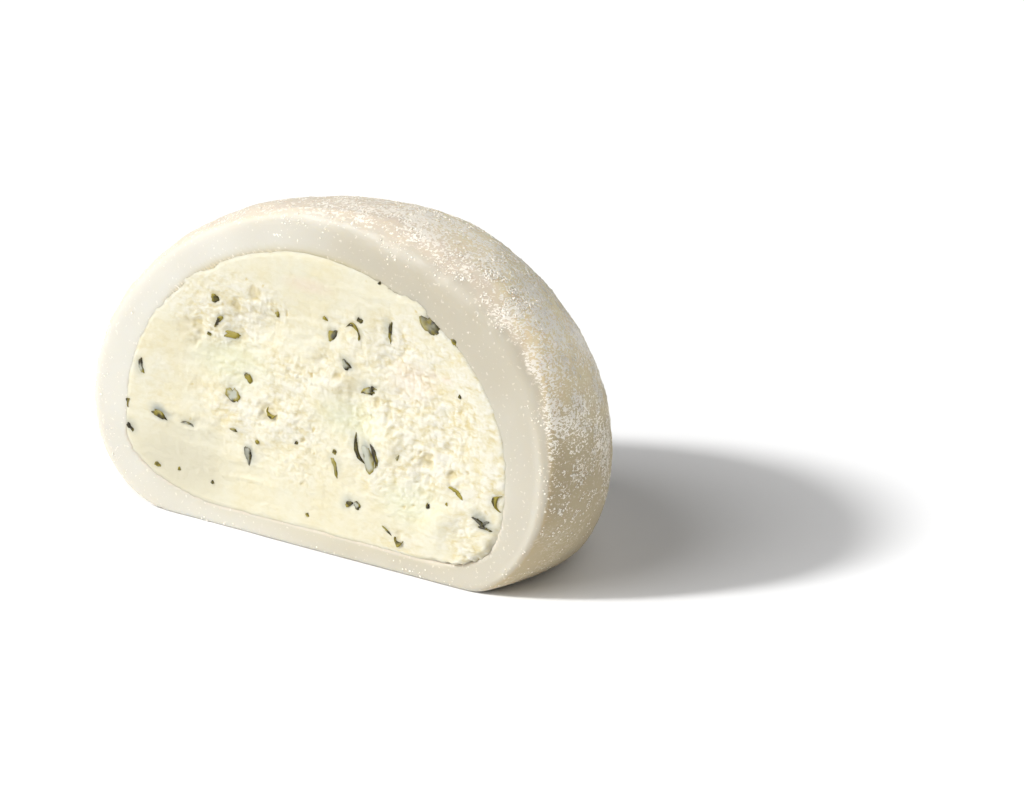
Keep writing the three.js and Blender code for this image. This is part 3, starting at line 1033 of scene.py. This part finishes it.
def leaf(herb, index, sizes):
    """Points, faces and painted numbers of one leaf: a closed thin body with a ragged raised rim."""
    bend, cup, ragged = LEAF_FORMS[herb.form]
    around = np.arange(LEAF_SIDES) / LEAF_SIDES * 2 * math.pi
    spots = columns(np.cos(around), np.full(LEAF_SIDES, index * 3.7), np.sin(around))
    edge = 1 + ragged * (0.9 * lumps(spots, 0.9, 41) + 0.6 * lumps(spots, 0.4, 42))
    share = np.array(LEAF_RINGS)[:, None]
    along = share * edge * herb.long / 2 * np.cos(around)
    across = share * edge * herb.wide * LEAF_WIDER / 2 * np.sin(around)
    if bend:
        radius = herb.long / math.radians(bend)
        angle = along / radius
        inner = radius - across
        along, across = inner * np.sin(angle), across + inner * (np.cos(angle) - 1)
        across = across + herb.long * math.radians(bend) / 16
    turn = math.radians(herb.turn)
    x = (herb.x + along * math.cos(turn) - across * math.sin(turn)).ravel()
    z = (herb.z + along * math.sin(turn) + across * math.cos(turn)).ravel()
    radial = np.repeat(LEAF_RINGS, LEAF_SIDES)
    wave = 0.08 * lumps(on_face(x, z), 0.6, 43) + 0.05 * lumps(on_face(x, z), 0.25, 46)
    sunk = rise(radial, 0.75, 1.0)
    lift = LEAF_PROUD + cup * radial**3 + wave * (1 - 0.5 * sunk) - LEAF_SUNK * sunk
    bed = face_depth(x, z, sizes)
    top = columns(x + CUT_X, bed - lift, z)
    under = top + (0.0, LEAF_THICK + 0.05, 0.0)
    points = np.concatenate([top, under])
    rings = len(LEAF_RINGS)
    half = rings * LEAF_SIDES
    faces = []
    for ring in range(rings - 1):
        for side in range(LEAF_SIDES):
            a = ring * LEAF_SIDES + side
            b = ring * LEAF_SIDES + (side + 1) % LEAF_SIDES
            c, d = b + LEAF_SIDES, a + LEAF_SIDES
            faces.append((a, d, c, b))
            faces.append((half + a, half + b, half + c, half + d))
    outer = (rings - 1) * LEAF_SIDES
    for side in range(LEAF_SIDES):
        a, b = outer + side, outer + (side + 1) % LEAF_SIDES
        faces.append((a, half + a, half + b, b))
    spotty = radial + 0.5 * lumps(on_face(x, z), 0.35, 44)
    pale = np.clip(1.5 * (herb.pale - 0.2) * fall(spotty, 0.3, 0.75), 0.0, 1.0)
    golden = 0.5 * radial + 1.1 * lumps(on_face(x, z), 0.45, 45) + 1.2 * herb.gold
    yellow = rise(golden, 0.7, 1.4)
    return points, np.array(faces), np.tile(pale, 2), np.tile(yellow, 2)


def make_herbs(scene):
    """All the leaves as one piece."""
    leaves = [leaf(herb, index, scene.mochi_sizes) for index, herb in enumerate(HERBS)]
    points, faces, pale, yellow = (np.concatenate(column) for column in zip(*leaves))
    starts = np.repeat(np.arange(len(leaves)) * len(leaves[0][0]), len(leaves[0][1]))
    obj = mesh_object("herbs", points, faces + starts[:, None])
    paint(obj.data, "pale", pale)
    paint(obj.data, "yellow", yellow)
    weld(obj, 0.002, lambda: bpy.ops.mesh.normals_make_consistent(inside=False))
    return finished(obj, herb_material(scene.mochi_colours))


# ---- Many small things ----

STROKE_SEED, GRAIN_SEED = 8, 9
STROKE_FLATNESS = 0.26  # thickness over width
GRAIN_FLATNESS = 0.6

def ball(segments):
    """Points and triangles of a small ball of radius 1, whose object is then taken away."""
    obj = add_primitive("primitive_uv_sphere_add", radius=1, segments=segments, ring_count=3)
    points = read_points(obj.data) * MM
    faces = triangles(obj.data)
    bpy.data.objects.remove(obj)
    return points, faces


def joined(name, model, places, frames, sizes, dents, rng):
    """One mesh of many copies of a model, each with its own place, axes, size and dents."""
    points, faces = model
    count = len(places)
    dented = points[None] * (1 + dents * rng.uniform(-1, 1, (count, len(points), 1)))
    shaped = dented * sizes[:, None, :]
    moved = np.einsum("nkj,nji->nki", shaped, frames) + places[:, None, :]
    shift = np.arange(count)[:, None, None] * len(points)
    return mesh_object(name, moved.reshape(-1, 3), (faces[None] + shift).reshape(-1, faces.shape[1]))


def axes_from(normals, spins):
    """For each normal three axes as rows: two along the surface, the first spun, and the normal."""
    helper = np.where(np.abs(normals[:, 2:]) < 0.9, (0.0, 0.0, 1.0), (1.0, 0.0, 0.0))
    level = np.cross(helper, normals)
    level /= np.linalg.norm(level, axis=1, keepdims=True)
    up = np.cross(normals, level)
    first = level * np.cos(spins)[:, None] + up * np.sin(spins)[:, None]
    second = np.cross(normals, first)
    return np.stack([first, second, normals], axis=1)


def starch_spots(rng, tries):
    """Random places on the dough, even by area, and the normals there, kept by the chance below."""
    mesh = bpy.data.objects["dough_wrapper"].data
    corners = triangles(mesh)
    points = read_points(mesh)
    normals = read_normals(mesh)
    a, b, c = (points[corners[:, k]] for k in range(3))
    area = np.linalg.norm(np.cross(b - a, c - a), axis=1)
    picks = rng.choice(len(corners), tries, p=area / area.sum())
    share = rng.dirichlet((1, 1, 1), tries)
    place = np.einsum("nk,nki->ni", share, points[corners[picks]])
    normal = np.einsum("nk,nki->ni", share, normals[corners[picks]])
    normal /= np.linalg.norm(normal, axis=1, keepdims=True)
    kept = rng.random(tries) < starch_chance(place, normal)
    return place[kept], normal[kept]


def starch_chance(place, normal):
    """How densely starch lies on the dough: thick on the upper skin, thin low down and on the rim."""
    rim = across_rim(place)
    depth = place[:, 1] - CUT_Y
    facing = -normal[:, 1]
    hollow = in_hollow(place, normal, 0.3)
    on_rim = rise(facing, 0.6, 0.95) * fall(depth, 0.8, 1.8)
    high = rise(place[:, 2], 3.0, 17.0)
    clumps = rise(lumps(place, 0.5, 61) + 0.6 * lumps(place, 2.5, 62), -0.1, 0.9)
    skin = (0.1 + 0.9 * high) * (1 - 0.85 * rubbed(normal)) * clumps
    scattered = 0.10 * rise(lumps(place, 2.2, 63), 0.1, 0.7) * rise(rim, 0.3, 0.9)
    chance = on_rim * scattered + (1 - on_rim) * skin
    return np.where(hollow | (place[:, 2] < 0.1), 0.0, chance)


def make_caked_starch(scene):
    """Starch caked to short, thin, bent strokes on the skin, most of them level."""
    rng = np.random.default_rng(STROKE_SEED)
    places, normals = starch_spots(rng, scene.mochi_sizes.caked_tries)
    count = len(places)
    astray = rng.random(count) < 0.3
    spins = np.where(astray, rng.uniform(0, 2 * math.pi, count), rng.normal(0, 0.5, count))
    long = 0.06 + 0.13 * rng.random(count) ** 1.6
    wide = rng.uniform(0.04, 0.08, count)
    spread = columns(long, wide, STROKE_FLATNESS * wide)
    spread *= 1 - 0.6 * rise(-normals[:, 1:2], 0.2, 0.6)
    points, faces = ball(6)
    points[:, 1] += 1.3 * points[:, 0] ** 2 - 0.4
    frames = axes_from(normals, spins)
    obj = joined("starch_caked", (points, faces), places, frames, spread, 0.25, rng)
    return finished(obj, starch_material(scene.mochi_colours), flat=True)


def make_starch_grains(scene):
    """Single starch grains, a little flattened."""
    rng = np.random.default_rng(GRAIN_SEED)
    places, normals = starch_spots(rng, scene.mochi_sizes.grain_tries)
    size = 0.04 + 0.07 * rng.random(len(places)) ** 1.5
    spread = size[:, None] * rng.uniform(0.7, 1.3, (len(places), 3)) * (1.0, 1.0, GRAIN_FLATNESS)
    frames = axes_from(normals, rng.uniform(0, 2 * math.pi, len(places)))
    obj = joined("starch_grains", ball(4), places, frames, spread, 0.2, rng)
    return finished(obj, bpy.data.materials["Potato starch"], flat=True)


# ---- Stage ----


def make_floor(scene):
    floor = add_primitive("primitive_plane_add", size=FLOOR_WIDTH)
    floor.name = "sweep"
    floor.data.materials.append(floor_material(scene.mochi_colours))


def direction(azimuth, elevation):
    """The way from the object to a place in the sky, both angles in degrees."""
    azimuth = math.radians(azimuth)
    elevation = math.radians(elevation)
    return Vector((
        math.sin(azimuth) * math.cos(elevation),
        -math.cos(azimuth) * math.cos(elevation),
        math.sin(elevation),
    ))


def make_lights(scene):
    """A key light from the front left, a wide soft window beside it, a weaker one behind on the
    right, and a trace of even pale sky."""
    for name, (azimuth, elevation, wide, energy) in SUNS.items():
        sun = bpy.data.lights.new(name, "SUN")
        sun.energy = energy
        sun.angle = math.radians(wide)
        lamp = add_object(name, sun)
        lamp.location = direction(azimuth, elevation)
        lamp.rotation_euler = lamp.location.to_track_quat("Z", "Y").to_euler()
    world = bpy.data.worlds.new("pale sky")
    world.use_nodes = True
    sky = world.node_tree.nodes["Background"]
    sky.inputs["Color"].default_value = (1.0, 1.0, 1.0, 1.0)
    sky.inputs["Strength"].default_value = SKY
    scene.world = world
    scene.view_settings.view_transform = "Standard"


def make_camera(scene):
    """The camera looks so that the foot of the middle of the cut lands on its place in the picture."""
    ahead = -direction(CAMERA["azimuth"], CAMERA["elevation"])
    right = -direction(CAMERA["azimuth"] - 90.0, 0.0)
    up = right.cross(ahead)
    wide, high = CAMERA["picture_px"]
    pixels = CAMERA["lens"] / SENSOR * wide
    foot_x, foot_y = CAMERA["foot_px"]
    aim = ahead + right * (wide / 2 - foot_x) / pixels - up * (high / 2 - foot_y) / pixels
    camera = add_object("camera", bpy.data.cameras.new("camera"))
    camera.data.lens = CAMERA["lens"]
    camera.data.sensor_width = SENSOR
    camera.data.clip_start = 0.01
    camera.location = Vector((CUT_X, CUT_Y, 0.0)) * MM - ahead * CAMERA["distance"] * MM
    camera.rotation_euler = aim.to_track_quat("-Z", "Y").to_euler()
    scene.camera = camera


# ---- Add-on ----

OUTLINES = {
    "cream": outline(solid_tree("filling"), 1.3),
    "skin": outline(solid_tree("dough"), 0.05, from_outside=True),
    "dome": outline(solid_tree("dough"), 3.2, from_outside=True),
}


def size_property(name, description, default_mm):
    return FloatProperty(
        name=name,
        description=description,
        default=default_mm * MM,
        min=0.0,
        precision=5,
        unit="LENGTH",
    )


def colour_property(name, description, code):
    return FloatVectorProperty(
        name=name,
        description=description,
        default=linear(code),
        min=0.0,
        max=1.0,
        size=3,
        subtype="COLOR",
    )


def count_property(name, description, default):
    return IntProperty(name=name, description=description, default=default, min=0)


class MochiSizes(bpy.types.PropertyGroup):
    """Sizes of the fine surface."""

    dough_grid: size_property("Dough grid", "Width of the dough's faces", 0.2)
    smoothing: count_property("Smoothing", "Rounds of smoothing of the dough", 30)
    hidden_share: FloatProperty(
        name="Hidden faces",
        description="Share of the faces kept where nothing shows",
        default=0.05,
        subtype="FACTOR",
    )
    closing: size_property("Closing", "How far the opening closes on the filling", 0.7)
    face_columns: count_property("Face columns", "Columns of the filling's face", 340)
    face_rows: count_property("Face rows", "Rows of the filling's face", 232)
    crumb_width: size_property("Crumb width", "Width of the larger crumbs in the cream", 0.6)
    crumb_height: size_property("Crumb height", "Height of the crumbs in the cream", 0.25)
    caked_tries: count_property("Caked starch", "Places tried for strokes of starch", 135000)
    grain_tries: count_property("Starch grains", "Places tried for single grains", 150000)


class MochiColours(bpy.types.PropertyGroup):
    """Colours of the materials."""

    dough: colour_property("Dough", "Cut dough where it is bright", "#C8C5BB")
    # Partly the deeper tone of thick dough, partly painted shade on the cut away from the light
    dough_deep_and_shaded: colour_property("Deep dough", "Cut dough where it is thick and moist", "#AFA897")
    # Also the colour of the painted shadow under the lip and below the cream
    dough_tint_and_shade: colour_property("Warm dough", "Cut dough where the filling shines through", "#B5A985")
    skin: colour_property("Skin", "Bare skin of the dough", "#F6E7C0")
    # Partly moist bare skin, partly painted shade low down towards the floor
    skin_shaded_low: colour_property("Low skin", "Bare moist skin near the floor", "#B2A486")
    # Painted shade: darker bare skin, used where the skin faces the key light
    skin_lit_side_shaded: colour_property("Top skin", "Bare skin on top", "#C8BCAA")
    film: colour_property("Starch film", "Thin film of starch on the skin", "#FFF9EC")
    # Painted shade: darker starch film, used where the skin faces the key light
    film_lit_side_shaded: colour_property("Rubbed film", "Film of starch on top, rubbed thin", "#E2DBCE")
    cream: colour_property("Cream", "Cream filling", "#C9C5B1")
    cream_warm: colour_property("Warm cream", "Cream in its warmer clouds", "#C8C1A6")
    # Whiter curd, also the painted highlight on the tops of crumbs
    curd_and_highlight: colour_property("Curd", "Tops of the crumbs", "#CECBBF")
    # Painted shade on the cream low on the left
    cream_shaded: colour_property("Dull cream", "Cream smeared by the knife", "#BBB6A2")
    # Painted shade in the hollows of the cream
    cream_pit_shade: colour_property("Cream hollows", "Cream seen down in small hollows", "#BFAF7C")
    cream_pink: colour_property("Pink cream", "Cream with a rosy tint", "#CBBCAC")
    cream_green: colour_property("Green cream", "Cream with a green tint", "#C3C5A9")
    stain: colour_property("Leaf through cream", "Leaf showing through a thin layer of cream", "#8C908A")
    herb_dark: colour_property("Dark herb", "Herb leaf in its dark parts", "#292311")
    herb_olive: colour_property("Olive herb", "Herb leaf in its lighter parts", "#4E4714")
    herb_yellow: colour_property("Yellow herb", "Herb leaf where it has yellowed", "#867A2A")
    herb_pale: colour_property("Pale herb", "Herb leaf under a film of cream", "#A1A294")
    starch: colour_property("Starch", "Starch grains", "#F8F3E8")
    starch_deep: colour_property("Deep starch", "Starch that has taken up moisture", "#EFE9DB")
    floor: colour_property("Floor", "Floor of the studio", "#F6F6F6")


class MOCHI_OT_stage(bpy.types.Operator):
    """Adds the camera, the lights and the floor"""

    bl_idname = "mochi.stage"
    bl_label = "Stage"
    bl_options = {"REGISTER", "UNDO"}

    def execute(self, context):
        make_camera(context.scene)
        make_lights(context.scene)
        make_floor(context.scene)
        return {"FINISHED"}


class MOCHI_OT_dough(bpy.types.Operator):
    """Adds the dough wrapper"""

    bl_idname = "mochi.dough"
    bl_label = "Dough wrapper"
    bl_options = {"REGISTER", "UNDO"}

    def execute(self, context):
        make_dough(context.scene)
        return {"FINISHED"}


class MOCHI_OT_filling(bpy.types.Operator):
    """Adds the cream filling"""

    bl_idname = "mochi.filling"
    bl_label = "Cream filling"
    bl_options = {"REGISTER", "UNDO"}

    def execute(self, context):
        make_filling(context.scene)
        return {"FINISHED"}


class MOCHI_OT_herbs(bpy.types.Operator):
    """Adds the chopped herb leaves in the filling's face"""

    bl_idname = "mochi.herbs"
    bl_label = "Herb leaves"
    bl_options = {"REGISTER", "UNDO"}

    def execute(self, context):
        make_herbs(context.scene)
        return {"FINISHED"}


class MOCHI_OT_caked_starch(bpy.types.Operator):
    """Adds the strokes of caked starch on the dough"""

    bl_idname = "mochi.caked_starch"
    bl_label = "Caked starch"
    bl_options = {"REGISTER", "UNDO"}

    def execute(self, context):
        make_caked_starch(context.scene)
        return {"FINISHED"}


class MOCHI_OT_starch_grains(bpy.types.Operator):
    """Adds the single grains of starch on the dough"""

    bl_idname = "mochi.starch_grains"
    bl_label = "Starch grains"
    bl_options = {"REGISTER", "UNDO"}

    def execute(self, context):
        make_starch_grains(context.scene)
        return {"FINISHED"}


OPERATORS = (
    MOCHI_OT_stage,
    MOCHI_OT_dough,
    MOCHI_OT_filling,
    MOCHI_OT_herbs,
    MOCHI_OT_caked_starch,
    MOCHI_OT_starch_grains,
)


class MOCHI_PT_pieces(bpy.types.Panel):
    """Lists the sizes, the colours and the pieces."""

    bl_label = "Mochi half"
    bl_space_type = "VIEW_3D"
    bl_region_type = "UI"
    bl_category = "Mochi"

    def draw(self, context):
        layout = self.layout
        for group in (context.scene.mochi_sizes, context.scene.mochi_colours):
            box = layout.box()
            for name in group.bl_rna.properties.keys():
                if name not in ("rna_type", "name"):
                    box.prop(group, name)
        for operator in OPERATORS:
            layout.operator(operator.bl_idname)


CLASSES = (MochiSizes, MochiColours, *OPERATORS, MOCHI_PT_pieces)


def register():
    for each in CLASSES:
        bpy.utils.register_class(each)
    bpy.types.Scene.mochi_sizes = PointerProperty(type=MochiSizes)
    bpy.types.Scene.mochi_colours = PointerProperty(type=MochiColours)


def unregister():
    del bpy.types.Scene.mochi_colours
    del bpy.types.Scene.mochi_sizes
    for each in reversed(CLASSES):
        bpy.utils.unregister_class(each)


def main():
    register()
    bpy.ops.mochi.stage()
    bpy.ops.mochi.dough()
    bpy.ops.mochi.filling()
    bpy.ops.mochi.herbs()
    bpy.ops.mochi.caked_starch()
    bpy.ops.mochi.starch_grains()


if __name__ == "__main__":
    main()
